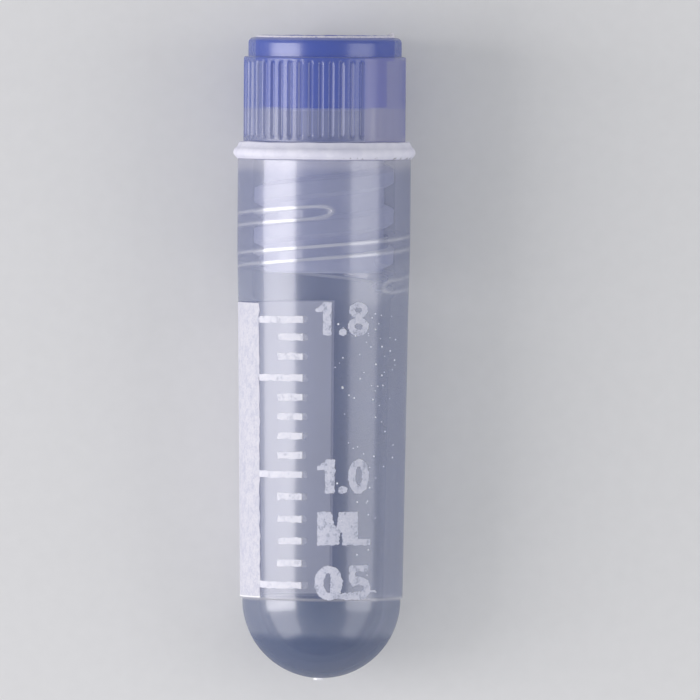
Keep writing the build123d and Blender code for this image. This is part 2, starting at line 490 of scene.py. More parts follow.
tubeSizes = {
    "domeRadius": 5.90, "domeHeight": 5.69, "ledgeHeight": 6.00, "ledgeEdge": 0.05, "footRadius": 6.05,
    "footEdge": 0.08, "shoulderHeight": 27.50, "bodyDraft": 0.76, "neckRadius": 6.45, "neckFoot": 32.00,
    "shoulderRound": 20, "rimEdge": 0.06, "mouthEdge": 0.22, "boreRadius": 5.30, "boreFoot": 28.52,
    "wellRadius": 5.004, "wellStep": 0.30, "wellEdge": 0.25, "wellFootRadius": 4.61, "floorWall": 1.15,
    "gateRadius": 0.36, "gateHeight": 0.15, "gateOffset": -0.20, "gateEdge": 0.08, "gateRoot": 0.4,
    "columns": 192,
}
# The white writing panel, printed on the left of the tube and round its back.
panelSizes = {"foot": 6.12, "head": 28.06, "right": -48.7, "left": -187.5, "columns": 120, "rows": 150,
              "restsFrom": -150, "restsFull": -165, "footFilm": 0.003, "filmGrowth": 0.007}
tubeLooks = {
    "tubeOutside": {
        "deep": (0.020, 0.070, 0.280), "milky": (0.056, 0.114, 0.370), "alpha": 0.37,
        "coat": 0.63, "coatRoughness": 0.18,
        # the thread's outline is a painted highlight
        "thread": {"colour": (0.92, 0.92, 1.00), "alpha": 0.80, "share": 0.30, "relief": 2.5, "coat": 1.0,
                   "width": 0.94, "endFrom": 1.5, "end": 9,
                   "innerEdge": (0.34, 0.80), "outerEdge": (1.14, 1.80)},
        "bands": [
            {"from": 29.5, "soft": 3.5, "share": 0.50, "colour": (0.15, 0.18, 0.40), "alpha": 0.56},
            {"from": 37.6, "soft": 0.9, "share": 0.55, "colour": (0.62, 0.62, 0.74)},
            # a painted highlight along the edge of the ledge
            {"from": 5.90, "to": 6.16, "soft": 0.08, "share": 0.80, "colour": (0.75, 0.75, 0.85)},
            {"to": 5.95, "soft": 0.10, "share": 1.00, "colour": (0.022, 0.072, 0.240), "alpha": 0.53},
            # darker and less glossy towards the bottom of the dome: painted shade where the lamps'
            # highlights end
            {"to": 3.55, "soft": 0.80, "share": 0.90, "colour": (0.016, 0.050, 0.165), "alpha": 0.62,
             "coat": 0.30},
            {"to": 0.05, "soft": 0.03, "share": 1.00, "colour": (0.90, 0.90, 0.96), "alpha": 0.95}]},
    "tubeInside": {
        "deep": (0.10, 0.14, 0.25), "milky": (0.15, 0.19, 0.31), "alpha": 0.06,
        "coat": 0.10, "coatRoughness": 0.25,
        # the inner wall is white where the panel is printed behind it, and whiter than the ink: painted glow
        # from light through the ink
        "inkBackedGlow": {"colour": (0.97, 0.96, 1.00), "alpha": 0.96, "from": panelSizes["left"], "to": -75,
                   "foot": panelSizes["foot"], "head": panelSizes["head"]}},
    "tubeRidge": {
        "deep": (0.40, 0.43, 0.58), "milky": (0.50, 0.53, 0.68), "alpha": 0.40,
        # the flanks' near-white colour is a painted highlight
        "coat": 0.60, "coatRoughness": 0.08, "slope": (0.97, 0.97, 1.00), "slopeAlpha": 0.85},
}


def bodyRadius(height):
    t = SimpleNamespace(**tubeSizes)
    slope = math.tan(math.radians(t.bodyDraft))
    foot = t.ledgeHeight + t.footEdge
    if height <= t.shoulderHeight:
        return t.footRadius + (height - foot) * slope
    top = t.footRadius + (t.shoulderHeight - foot) * slope
    share = (height - t.shoulderHeight) / (t.neckFoot - t.shoulderHeight)
    return top + (t.neckRadius - top) * min(share, 1)


def innerRadius(height):
    # of the sample well and the threaded mouth above it
    t = SimpleNamespace(**tubeSizes)
    if height > t.boreFoot:
        return t.boreRadius
    if height > t.domeHeight:
        share = (height - t.domeHeight) / (t.boreFoot - t.domeHeight)
        return t.wellFootRadius + (t.wellRadius - t.wellFootRadius) * share
    return math.sqrt(max(t.wellFootRadius ** 2 - (t.domeHeight - height) ** 2, 0.01))


def domeArc(radius, height, foot, steps):
    # from the axis outwards
    arc = (radius ** 2 + height ** 2) / (2 * height)
    bend = math.degrees(math.asin(min(1, radius / arc)))
    turns = [math.radians(bend * i / steps) for i in range(steps + 1)]
    return [(arc * math.sin(a), foot + arc - arc * math.cos(a)) for a in turns]


def makeTubeRidge():
    r = SimpleNamespace(**ridgeSizes)
    half = r.tubeWidth / 2
    root = tubeSizes["boreRadius"] + r.sunk
    slope = math.tan(math.radians(r.flank))

    def section(share):
        crest = tubeSizes["boreRadius"] - r.tubeDepth * share
        rootHalf, crestHalf = (half + r.sunk * slope) * share, (half - r.tubeDepth * slope) * share
        edge = r.tubeEdge * share
        return softCorners([(crest, -crestHalf, edge), (root, -rootHalf), (root, rootHalf),
                            (crest, crestHalf, edge)], closed=True, arcSteps=4)

    return sweepRidge("tubeRidge", r.tubeStart, r.tubeFoot, r.tubeTurns, section)


def makeTube():
    t = SimpleNamespace(**tubeSizes)
    outline = domeArc(t.domeRadius, t.domeHeight, 0, 40)
    outline += softCorners([
        (t.domeRadius, t.domeHeight), (t.domeRadius, t.ledgeHeight, t.ledgeEdge),
        (t.footRadius, t.ledgeHeight, t.footEdge),
        (bodyRadius(t.shoulderHeight), t.shoulderHeight, t.shoulderRound),
        (t.neckRadius, t.neckFoot, t.shoulderRound), (t.neckRadius, tubeRim, t.rimEdge),
        (t.boreRadius, tubeRim, t.mouthEdge), (t.boreRadius, t.boreFoot, t.wellEdge),
        (t.wellRadius, t.boreFoot - t.wellStep, t.wellEdge),
        (t.wellFootRadius, t.domeHeight)])[1:]
    well = domeArc(t.wellFootRadius, t.domeHeight - t.floorWall, t.floorWall, 32)
    outline += reversed(well[:-1])
    tube = turnOutline("tubeBody", fillIn(outline, 0.8), t.columns)
    setLayers(tube, lambda radius, z, outward: int(
        z > t.floorWall - 0.1 and radius < t.boreRadius + 0.01
        and (outward < -0.05 or radius < 0.98 * innerRadius(z))))
    addSolid(tube, makeTubeRidge())
    nib = turnOutline("gateNib", softCorners([
        (0, -t.gateHeight), (t.gateRadius, -t.gateHeight, t.gateEdge),
        (t.gateRadius, t.gateRoot), (0, t.gateRoot)]), 32)
    nib.data.transform(Matrix.Translation((t.gateOffset, 0, 0)))
    addSolid(tube, nib)
    shade(tube)
    finishPiece(tube, plasticLayers(tubeLooks), "vial", ["tube"])


makeTube()


sealSizes = {"bulge": 6.80, "bulgeHeight": 0.46, "lip": 0.42, "foot": 6.50, "footEdge": 0.12, "top": 6.35,
             "topEdge": 0.15, "hole": 4.55, "holeEdge": 0.1, "columns": 256,
             "waver": 0.05, "waverFrom": 5.5, "waverRise": 0.8}
sealLook = {"shade": (0.72, 0.72, 0.85), "light": (0.80, 0.80, 0.91), "gapShadow": (0.06, 0.06, 0.07),
            "gapShadowHeight": 0.22, "gapShadowFrom": 0.5, "gapShadowGrain": (2.2, 3, 0.6, (1, 1, 0.15)),
            "cloud": (0.9, 4, 0.6), "grain": (10.0, 3, 0.6)}


def whiteSilicone():
    look = sealLook
    p = Paint("whiteSilicone")
    place = p.upright()
    x, _, z = p.split(place)
    cloud, grain = p.noise(place, *look["cloud"]), p.noise(place, *look["grain"])
    # painted shadow: dark dashes along its foot on the right side, in the gap where it sits on the rim
    gapShadow = p.noise(place, *look["gapShadowGrain"]).between(0.53, 0.60)
    foot = 1 - (z + (grain - 0.5) * 0.1).between(tubeRim + 0.04, tubeRim + look["gapShadowHeight"])
    right = x.between(look["gapShadowFrom"], look["gapShadowFrom"] + 2) * p.reach(place).between(6.45, 6.55)
    white = p.mix(cloud.between(0.3, 0.7), look["shade"], look["light"])
    return p.finish(Base_Color=p.mix(gapShadow * foot * right * 0.9, white, look["gapShadow"]),
                    Roughness=0.5 + 0.15 * grain, IOR=1.42, Normal=p.bump(grain * 0.4 + cloud, 0.3, 0.0001))


def makeSealRing():
    s = SimpleNamespace(**sealSizes)
    outline = [(s.hole, tubeRim, s.holeEdge), (s.foot, tubeRim, s.footEdge)]
    for angle in range(-40, 66, 8):
        out, up = s.lip * math.cos(math.radians(angle)), s.lip * math.sin(math.radians(angle))
        outline.append((s.bulge - s.lip + out, tubeRim + s.bulgeHeight + up))
    outline += [(s.top, flangeUnderside, s.topEdge), (s.hole, flangeUnderside, s.holeEdge)]
    ring = turnOutline("sealRing", softCorners(outline, True), s.columns, True)
    for vertex in ring.data.vertices:
        x, y, z = vertex.co
        out = math.hypot(x, y)
        if out > s.waverFrom:
            swell = ripple((x, y, 3.0), 0.55) * s.waver
            fine = ripple((x, y, z), 1.7) * s.waver * 0.5
            share = min((out - s.waverFrom) / s.waverRise, 1)
            widen = 1 + (fine - s.waver * 0.3) * share / out
            vertex.co.x *= widen
            vertex.co.y *= widen
            vertex.co.z += swell * share * ((z - tubeRim) / stackSizes["sealThickness"])
    shade(ring, 60)
    finishPiece(ring, [whiteSilicone()], "washer", ["seal_ring"])


makeSealRing()


insertSizes = {
    "headRadius": 5.15, "headHeight": 1.85, "headEdge": 0.08, "stemRadius": 4.60, "stemLength": 3.44,
    "stemEdge": 0.15, "edge": 0.12, "wall": 1.05, "wallEdge": 0.1, "top": 1.90, "topEdge": 0.2,
    "raggedFrom": 4.2, "raggedDepth": 0.3, "burrFrom": 5.0, "burrHalf": 0.35, "burr": 0.24, "columns": 192,
}
insertStep = insertFace - insertSizes["headHeight"]
insertFoot = insertStep - insertSizes["stemLength"]

capSizes = {
    "gripRadius": 6.045, "gripEdge": 0.14, "flangeEdge": 0.06, "collarRadius": 5.72, "collarFootEdge": 0.04,
    "collarRound": 0.42, "plugLength": 9.74, "plugRadius": 4.47, "plugWall": 1.15, "plugFloor": 1.20,
    "plugEdge": 0.22, "hollowEdge": 0.3, "socketGap": 0.03,
    "ribCount": 48, "smoothCount": 8, "smoothMiddle": 61, "columnsPerRib": 12, "grooveWidth": 0.34,
    "grooveDepth": 0.17, "grooveFoot": 0.26, "grooveHead": 0.22, "grooveOverrun": 0.02, "grooveFade": 0.22,
}
capLooks = {
    "capOutside": {
        "deep": (0.165, 0.205, 0.455), "milky": (0.225, 0.265, 0.545), "alpha": 0.52,
        "coat": 0.27, "coatRoughness": 0.24,
        # the rib flanks' lighter colour is a painted highlight
        "slope": (0.25, 0.29, 0.55), "slopeAlpha": 0.58, "slopeCoat": 0.12,
        # the stretch without ribs is painted lighter: a painted highlight
        "sheenStretch": {"colour": (0.42, 0.40, 0.69), "share": 0.50, "middle": capSizes["smoothMiddle"],
                 "half": 180 * capSizes["smoothCount"] / capSizes["ribCount"], "top": collarFoot},
        "bands": [
            {"from": 42.45, "soft": 0.15, "share": 0.72, "colour": (0.048, 0.110, 0.51), "alpha": 0.58},
            {"from": 46.38, "soft": 0.10, "share": 1.00, "colour": (0.045, 0.105, 0.50), "alpha": 0.56,
             "coat": 0.36}]},
    "capInside": {
        # paler than the outside: milky plastic, made lighter still as painted light that brightens the cap's
        # middle
        "deep": (0.41, 0.44, 0.68), "milky": (0.49, 0.52, 0.76), "alpha": 0.50,
        "coat": 0.20, "coatRoughness": 0.25,
        "bands": [
            {"from": 42.45, "soft": 0.12, "share": 1.00, "colour": (0.016, 0.054, 0.58), "alpha": 0.88},
            {"from": 42.30, "to": 42.62, "soft": 0.10, "share": 0.80, "colour": (0.50, 0.52, 0.80),
             "alpha": 0.88}]},
    "capPlug": {
        "deep": (0.70, 0.72, 0.90), "milky": (0.76, 0.77, 0.94), "alpha": 0.90,
        # the thread flanks' lighter colour is a painted highlight
        "coat": 0.15, "coatRoughness": 0.20, "slope": (0.86, 0.87, 1.00), "slopeAlpha": 1.0},
}


def gripTree(sizes):
    # presses V grooves into the grip, spaced round it, and leaves one stretch smooth
    shape = Shape("gripGrooves", sizes)
    given = shape.given
    x, y, z = shape.split(shape.node("GeometryNodeInputPosition"))
    out = shape.maths("SQRT", x * x + y * y)
    angle = shape.maths("ARCTAN2", x, y * -1)
    pitch = math.tau / given.ribCount
    steps = shape.maths("WRAP", angle - given.smoothMiddle, math.pi, -math.pi) / pitch
    off = shape.maths("ABSOLUTE", shape.maths("FRACT", steps + 100) - 0.5)     # the 100 keeps it above 0
    groove = 1 - (off * pitch * given.radius).between(0.0, given.width * 0.72)
    ribbed = shape.maths("GREATER_THAN", shape.maths("ABSOLUTE", steps), given.smoothCount * 0.5)
    rise = z.between(given.foot - given.overrun, given.foot + given.fade)
    fall = 1 - z.between(given.head - given.fade, given.head + given.overrun)
    outside = shape.maths("GREATER_THAN", out, given.radius - 0.02)
    press = groove * ribbed * (rise * fall * outside) * given.depth
    keep = 1 - press / out
    return shape.close(shape.node("GeometryNodeSetPosition", None, {
        "Geometry": given.base, "Position": shape.joined(x * keep, y * keep, z)}))


def makePlugRidge():
    r = SimpleNamespace(**ridgeSizes)
    plug = capSizes["plugRadius"]
    crest = tubeSizes["boreRadius"] - r.crestGap
    half = r.plugWidth / 2
    root = plug - r.sunk
    slope = math.tan(math.radians(r.flank))

    def section(share):
        top = plug + (crest - plug) * share
        rootHalf = (half + (crest - root) * slope) * share
        edge = r.plugEdge * share
        return softCorners([(root, -rootHalf), (top, -half * share, edge), (top, half * share, edge),
                            (root, rootHalf)], closed=True, arcSteps=4)

    return sweepRidge("plugRidge", r.plugStart, r.plugFoot, r.plugTurns, section)


def makeCap():
    c = SimpleNamespace(**capSizes)
    plugFoot = flangeUnderside - c.plugLength
    headHole = insertSizes["headRadius"] + c.socketGap
    stemHole = insertSizes["stemRadius"] + c.socketGap
    hollow = c.plugRadius - c.plugWall
    outline = softCorners([
        (0, plugFoot), (c.plugRadius, plugFoot, c.plugEdge), (c.plugRadius, flangeUnderside),
        (c.gripRadius, flangeUnderside, c.flangeEdge), (c.gripRadius, collarFoot, c.gripEdge),
        (c.collarRadius, collarFoot, c.collarFootEdge), (c.collarRadius, capTop, c.collarRound),
        (headHole, capTop), (headHole, insertStep), (stemHole, insertStep), (stemHole, insertFoot),
        (hollow, insertFoot), (hollow, plugFoot + c.plugFloor, c.hollowEdge),
        (0, plugFoot + c.plugFloor)])
    filled = []
    for a, b in zip(outline, outline[1:]):
        onGrip = min(a[0], b[0]) > c.gripRadius - 0.001
        filled += fillIn([a, b], 0.12 if onGrip else 0.9)[:-1]
    cap = turnOutline("capBody", filled + outline[-1:], c.ribCount * c.columnsPerRib)
    layers = plasticLayers(capLooks)
    grooves = {
        "ribCount": float(c.ribCount), "smoothCount": float(c.smoothCount),
        "smoothMiddle": math.radians(c.smoothMiddle), "radius": c.gripRadius,
        "width": c.grooveWidth, "depth": c.grooveDepth, "overrun": c.grooveOverrun, "fade": c.grooveFade,
        "foot": flangeUnderside + c.grooveFoot, "head": collarFoot - c.grooveHead}
    useTree(cap, gripTree(grooves), grooves, layers[0])
    setLayers(cap, lambda radius, z, outward: 2 if z < flangeUnderside - 0.01
              else int(outward < 0.05 and radius < c.collarRadius - 0.5))
    addSolid(cap, makePlugRidge())
    shade(cap)
    finishPiece(cap, layers, "lid", ["cap"])


makeCap()


insertLook = {"deep": (0.022, 0.045, 0.40), "light": (0.045, 0.080, 0.50), "wearAndGlint": (0.80, 0.78, 0.86),
              "glintDepth": 0.18, "blotch": (1.1, 4, 0.6), "rough": (6.0, 4, 0.7)}


def blueInsert():
    look = insertLook
    p = Paint("bluePlastic")
    place = p.upright()
    z = p.split(place)[2]
    blotch, rough = p.noise(place, *look["blotch"]), p.noise(place, *look["rough"])
    head = insertSizes["headRadius"]
    # whitish along the head's top edge: a painted highlight where the top face catches the light edge-on
    wearAndGlint = (z + (rough - 0.5) * 0.12).between(insertFace - look["glintDepth"], insertFace - 0.05)
    wearAndGlint = wearAndGlint * (0.08 + 0.92 * p.reach(place).between(head - 0.7, head - 0.2))
    blue = p.mix(blotch.between(0.3, 0.7), look["deep"], look["light"])
    return p.finish(Base_Color=p.mix(wearAndGlint * rough.between(0.22, 0.46), blue, look["wearAndGlint"]),
                    Roughness=0.42 + 0.2 * rough, IOR=1.5, Normal=p.bump(rough, 0.3, 0.00005))


def makeInsert():
    s = SimpleNamespace(**insertSizes)
    inside = s.stemRadius - s.wall
    outline = softCorners([
        (0, insertFace - s.top), (inside, insertFace - s.top, s.topEdge),
        (inside, insertFoot, s.wallEdge), (s.stemRadius, insertFoot, s.stemEdge),
        (s.stemRadius, insertStep), (s.headRadius, insertStep, s.headEdge),
        (s.headRadius, insertFace, s.edge), (0, insertFace)])
    insert = turnOutline("colourInsert", fillIn(outline, 0.5), s.columns)
    for vertex in insert.data.vertices:
        x, y, z = vertex.co
        above = z - insertFace + s.raggedDepth
        if above > 0 and math.hypot(x, y) > s.raggedFrom:
            ragged = ripple((x, y, z), 2.3) * 0.05 + ripple((x, y, z), 6.1) * 0.03
            vertex.co.z += (ragged * 0.7 + 0.03) * min(above / s.raggedDepth, 1)
            if x > s.burrFrom and abs(y) < s.burrHalf:
                vertex.co.z += s.burr
    shade(insert, 50)
    finishPiece(insert, [blueInsert()], "lid", ["colour_insert"])


makeInsert()


# All the print is a film of ink, its back a little way into the plastic.
inkSizes = {"sink": 0.02, "proud": 0.03}
inkGrain = {"blotch": (1.6, 5, 0.7), "speckle": (7.0, 3, 0.6), "grain": (16.0, 2)}
inkLooks = {
    "panelFront": {"colour": (0.74, 0.735, 0.81), "thin": (0.50, 0.52, 0.66), "patches": 0.75,
                   "opacity": 0.94, "footHighlight": 0.10},
    # the back of the ink is whiter than its front: painted glow from light through the ink
    "panelBack": {"colour": (0.88, 0.87, 0.95), "thin": (0.74, 0.75, 0.88), "patches": 0.30, "opacity": 1.0},
    "tickInk": {"colour": (0.80, 0.80, 0.88), "thin": (0.52, 0.55, 0.70), "patches": 0.50,
                "opacity": 1.0, "holes": 0.14, "smearFrom": -1.56},
    "numeralInk": {"colour": (0.75, 0.76, 0.88), "thin": (0.46, 0.50, 0.66), "patches": 0.78,
                   "opacity": 0.92, "holes": 0.22},
    "speckInk": {"colour": (0.95, 0.95, 1.00), "thin": (0.75, 0.77, 0.88), "patches": 0.30, "opacity": 1.0},
}


def whiteInk(name):
    look = inkLooks[name]
    p = Paint(name)
    place = p.upright()
    x, _, z = p.split(place)
    blotch, speckle, grain = (p.noise(place, *inkGrain[kind]) for kind in ("blotch", "speckle", "grain"))
    blotch = blotch.between(0.42, 0.66)
    wearAndGlint = (blotch * 0.6 + speckle.between(0.40, 0.70) * 0.5) * look["patches"]
    colour = p.mix(wearAndGlint, look["colour"], look["thin"])
    alpha = look["opacity"]
    if "footHighlight" in look:
        # a painted highlight: the ink is whiter along the panel's foot, at the edge of the ledge
        top = panelSizes["foot"] + look["footHighlight"]
        footHighlight = 1 - (z + (speckle - 0.5) * 0.1).between(top - 0.03, top + 0.03)
        colour = p.mix(footHighlight, colour, (0.97, 0.97, 1.0))
    if "holes" in look:
        alpha = alpha - (speckle * 0.7 + blotch * 0.3).between(0.52, 0.66) * look["holes"]
    if "smearFrom" in look:
        smear = x.between(look["smearFrom"], look["smearFrom"] + 0.14)
        alpha = alpha * (1 - smear * (0.62 + 0.5 * speckle))
    return p.finish(Base_Color=colour, Roughness=0.5 + 0.2 * grain, IOR=1.45, Alpha=alpha,
                    Normal=p.bump(grain * 0.5 + speckle, 0.35, 0.00003))


def makePanel():
    p = SimpleNamespace(**panelSizes)
    columns, rows = p.columns, p.rows
    back, front, faces = [], [], []
    for row in range(rows + 1):
        height = p.foot + (p.head - p.foot) * row / rows
        radius = bodyRadius(height)
        # the vial lies on this side, so the ink is thin at its foot there
        film = min(inkSizes["proud"], p.footFilm + p.filmGrowth * (height - p.foot))
        for column in range(columns + 1):
            share = column / columns
            bleed = ripple((height * 2.1, share * 9, 1.5), 1) * 0.9
            bleed += ripple((height * 7.0, share * 5, 4.5), 1) * 0.4
            angle = p.left + (p.right + bleed * share ** 8 - p.left) * share
            under = min(max((p.restsFrom - angle) / (p.restsFrom - p.restsFull), 0), 1)
            lift = inkSizes["proud"] + (film - inkSizes["proud"]) * under
            back.append(onTube(angle, height, radius - inkSizes["sink"]))
            front.append(onTube(angle, height, radius + lift))

    def spot(side, row, column):
        return side * len(back) + row * (columns + 1) + column

    for row in range(rows):
        for column in range(columns):
            quad = [(row, column), (row, column + 1), (row + 1, column + 1), (row + 1, column)]
            faces.append([spot(1, r, k) for r, k in quad])
            faces.append([spot(0, r, k) for r, k in reversed(quad)])
    border = [(0, k) for k in range(columns)] + [(r, columns) for r in range(rows)]
    border += [(rows, k) for k in range(columns, 0, -1)] + [(r, 0) for r in range(rows, 0, -1)]
    for a, b in zip(border, border[1:] + border[:1]):
        faces.append([spot(0, *a), spot(0, *b), spot(1, *b), spot(1, *a)])
    panel = makeObject("writingPanel", back + front, faces)
    setLayers(panel, lambda radius, z, outward: int(outward < -0.5))
    shade(panel, 40)
    finishPiece(panel, [whiteInk("panelFront"), whiteInk("panelBack")], "vial")


makePanel()


def finishPrint(item, ink, angle=0.0):
    # flat work, x along the round and y up, is wrapped on the tube, x = 0 at this angle
    for vertex in item.data.vertices:
        radius = bodyRadius(vertex.co.y)
        lift = inkSizes["proud"] if vertex.co.z > 0 else -inkSizes["sink"]
        vertex.co = onTube(angle + math.degrees(vertex.co.x / radius), vertex.co.y, radius + lift)
    shade(item, 60)
    finishPiece(item, [ink], "vial")


def bow(x, y, wide, high, start=0, end=360):
    steps = max(8, round(abs(end - start) / 15))
    turns = [math.radians(start + (end - start) * i / steps) for i in range(steps + 1)]
    return [(x + wide * math.cos(t), y + high * math.sin(t)) for t in turns]


# Each figure is a few bold strokes, in millimetres from its lower left corner: half the stroke's
# width, then its path.
figureStrokes = {
    "1": [(0.31, [(0.92, 0.29), (0.92, 2.19)]), (0.15, [(0.18, 1.89), (0.70, 1.90)]),
          (0.19, [(0.46, 2.00), (0.82, 2.24)])],
    "8": [(0.23, bow(0.82, 0.66, 0.60, 0.46)), (0.21, bow(0.83, 1.88, 0.53, 0.38))],
    "0": [(0.25, bow(0.82, 1.25, 0.57, 1.02))],
    "5": [(0.22, [(1.36, 2.33), (0.22, 2.33), (0.22, 1.50)]), (0.28, bow(0.76, 0.85, 0.70, 0.56, 125, -100)),
          (0.25, [(0.62, 0.29), (-0.15, 0.27)])],
    "M": [(0.40, [(0.41, 0.38), (0.41, 2.16)]), (0.28, [(0.78, 2.24), (1.36, 0.30)]),
          (0.19, [(1.44, 0.22), (1.78, 2.30)]), (0.20, [(1.00, 0.22), (1.00, 0.95)]),
          (0.22, [(2.10, 0.24), (2.10, 2.30)])],
    "L": [(0.40, [(0.42, 0.40), (0.42, 2.14)]), (0.22, [(0.42, 0.25), (1.72, 0.25)])],
    ".": [(0.27, [(0.27, 0.25), (0.33, 0.25)])],
    "smear": [(0.22, [(0.82, 0.45), (0.82, 2.00)]), (0.20, [(1.00, 0.28), (1.75, 0.24)]),
              (0.07, [(3.50, 0.68), (4.20, 0.62)])],
}
# Each line of figures: which, how far to the right of the front's middle, and how wide it is drawn.
scaleLines = [
    {"foot": 25.72, "weight": 1.00, "figures": [("1", -0.62, 1.00), (".", 1.18, 1.00), ("8", 1.88, 1.00)]},
    {"foot": 13.99, "weight": 1.10, "figures": [("1", -0.42, 1.08), (".", 1.24, 1.10), ("0", 2.00, 1.00)]},
    {"foot": 10.10, "weight": 1.00, "figures": [("M", -0.34, 1.00), ("L", 1.94, 1.00)]},
    {"foot": 6.06, "weight": 1.05, "figures": [("0", -0.50, 1.26), ("5", 2.11, 1.02), ("smear", 0.08, 1)]},
]
numeralSizes = {"halfDepth": 0.12, "voxel": 0.05, "waver": (0.07, 0.06), "fray": (0.07, 0.05)}


def strokeOutline(a, b, half, squareA, squareB):
    # a straight stroke; its ends are round, or cut square where the figure stops
    a, b = Vector(a), Vector(b)
    along = (b - a).normalized()
    across = Vector((-along.y, along.x))
    squareEnd = [(0, -1), (0.80, -1), (0.92, -0.86), (0.92, 0.86), (0.80, 1), (0, 1)]
    roundEnd = [(math.cos(math.pi * i / 8), math.sin(math.pi * i / 8)) for i in range(-4, 5)]
    outline = []
    for centre, side, square in ((b, 1, squareB), (a, -1, squareA)):
        for out, over in squareEnd if square else roundEnd:
            outline.append(tuple(centre + (along * out + across * over) * side * half))
    return outline


def makeNumerals():
    n = SimpleNamespace(**numeralSizes)
    verts, faces = [], []

    def addStroke(outline):
        rings = []
        for side in (-n.halfDepth, n.halfDepth):
            rings.append([len(verts) + i for i in range(len(outline))])
            verts.extend((x, y, side) for x, y in outline)
        faces.extend([rings[0][::-1], rings[1]] + stitch(*rings))

    for line in scaleLines:
        for figure, left, stretch in line["figures"]:
            for half, stroke in figureStrokes[figure]:
                for a, b in zip(stroke, stroke[1:]):
                    squareA, squareB = figure != "." and a == stroke[0], figure != "." and b == stroke[-1]
                    outline = strokeOutline(a, b, half * line["weight"], squareA, squareB)
                    addStroke([(left + x * stretch, line["foot"] + y) for x, y in outline])
    numerals = makeObject("scaleNumerals", verts, faces)
    remesh = numerals.modifiers.new("even", "REMESH")     # joins the strokes into one body a figure
    remesh.mode = "VOXEL"
    remesh.voxel_size = n.voxel
    bpy.context.view_layer.update()
    takeMesh(numerals)
    for vertex in numerals.data.vertices:
        flat = (vertex.co.x, vertex.co.y, 0)
        vertex.co.x += ripple(flat, 3.3) * n.waver[0] + ripple(flat, 9.0) * n.fray[0]
        vertex.co.y += ripple(flat, 3.3, (7, 3, 1)) * n.waver[1] + ripple(flat, 11.0) * n.fray[1]
    finishPrint(numerals, whiteInk("numeralInk"))


makeNumerals()


tickSizes = {"count": 14, "first": 7.12, "middle": 15.34, "last": 26.87, "lift": 0.08, "height": 0.50,
             "longFrom": -48.9, "longTo": -14.6, "shortFrom": -31.5, "shortTo": -13.9, "smear": 0.45,
             "depth": 0.05, "waver": (0.14, 0.07)}


def tickTree(sizes):
    # a column of short and long marks, laid out flat; every fifth is long, and the last
    middleMark, bunchedMark, lastMark = 5, 10, 13
    shape = Shape("scaleTicks", sizes)
    given = shape.given
    line = shape.node("GeometryNodeMeshLine", None, {"Count": given.count})
    index = shape.node("GeometryNodeInputIndex")
    above = shape.maths("MAXIMUM", index - middleMark, 0.0)
    below = shape.maths("MINIMUM", index - middleMark, 0.0)
    stepUp = (given.last - given.middle) / (lastMark - middleMark)
    stepDown = (given.middle - given.first) / middleMark
    bunched = shape.maths("MAXIMUM", index - bunchedMark, 0.0) * (lastMark - index)
    height = given.middle + (above * stepUp + below * stepDown) + bunched * given.lift
    fifth = shape.maths("LESS_THAN", shape.maths("MODULO", index, 5.0), 0.5)
    long = shape.maths("MAXIMUM", fifth, shape.maths("GREATER_THAN", index, lastMark - 0.5))
    width = given.short + long * (given.long - given.short)
    seat = shape.joined((given.smear - width) * 0.5, height, 0.0)
    points = shape.node("GeometryNodeSetPosition", None, {"Geometry": line, "Position": seat})
    bar = shape.node("GeometryNodeMeshCube", None,
                     {"Size": (1, 1, 1), "Vertices X": 30, "Vertices Y": 6, "Vertices Z": 2})
    size = shape.joined(width + given.smear, given.height, given.depth)
    return shape.close(shape.node("GeometryNodeInstanceOnPoints", None,
                                  {"Points": points, "Instance": bar, "Scale": size}))


def makeTicks():
    t = SimpleNamespace(**tickSizes)
    ticks = makeObject("scaleTicks", [(0, 0, 0)], [])
    arc = math.radians(1) * bodyRadius(17)
    ink = whiteInk("tickInk")
    marks = {"count": t.count, "first": t.first, "middle": t.middle, "last": t.last, "lift": t.lift,
             "long": (t.longTo - t.longFrom) * arc, "short": (t.shortTo - t.shortFrom) * arc,
             "height": t.height, "depth": t.depth, "smear": t.smear}
    useTree(ticks, tickTree(marks), marks, ink)
    for vertex in ticks.data.vertices:
        flat = (vertex.co.x, vertex.co.y, 2)
        vertex.co.y += ripple(flat, 2.7) * t.waver[1]
        vertex.co.x += ripple(flat, 2.7, (5, 2, 8)) * t.waver[0]
    finishPrint(ticks, ink, t.longTo)


makeTicks()


# Tiny drops of stray ink: where they lie along the round and up the tube, how many to a square
# millimetre, and how big.
speckFields = {
    "inkSpecks": {"left": 0.9, "right": 6.6, "foot": 15.8, "head": 27.4, "perSquare": 0.85, "seed": 7},
    "inkSplashes": {"left": 0.7, "right": 4.6, "foot": 6.4, "head": 15.6, "perSquare": 0.6, "seed": 21},
}
dropSizes = {"smallest": 0.032, "largest": 0.085}


def speckTree(sizes):
    shape = Shape("inkSpecks", sizes)
    given = shape.given
    field = shape.node("GeometryNodeMeshGrid", None,
                       {"Size X": given.width, "Size Y": given.height, "Vertices X": 2, "Vertices Y": 2})
    placed = shape.node("GeometryNodeTransform", None, {"Geometry": field, "Translation": given.middle})
    spots = shape.node("GeometryNodeDistributePointsOnFaces", None,
                       {"Mesh": placed, "Density": given.perSquare, "Seed": given.seed})
    drop = shape.node("GeometryNodeMeshIcoSphere", None, {"Radius": 1.0, "Subdivisions": 2})
    chance = shape.node("FunctionNodeRandomValue", {"data_type": "FLOAT"},
                        {2: 0.0, 3: 1.0, "Seed": given.seed}, 1)
    # most of the drops are small
    size = given.smallest + shape.maths("POWER", chance, 2.5) * (given.largest - given.smallest)
    return shape.close(shape.node("GeometryNodeInstanceOnPoints", None,
                                  {"Points": spots, "Instance": drop, "Scale": size}))


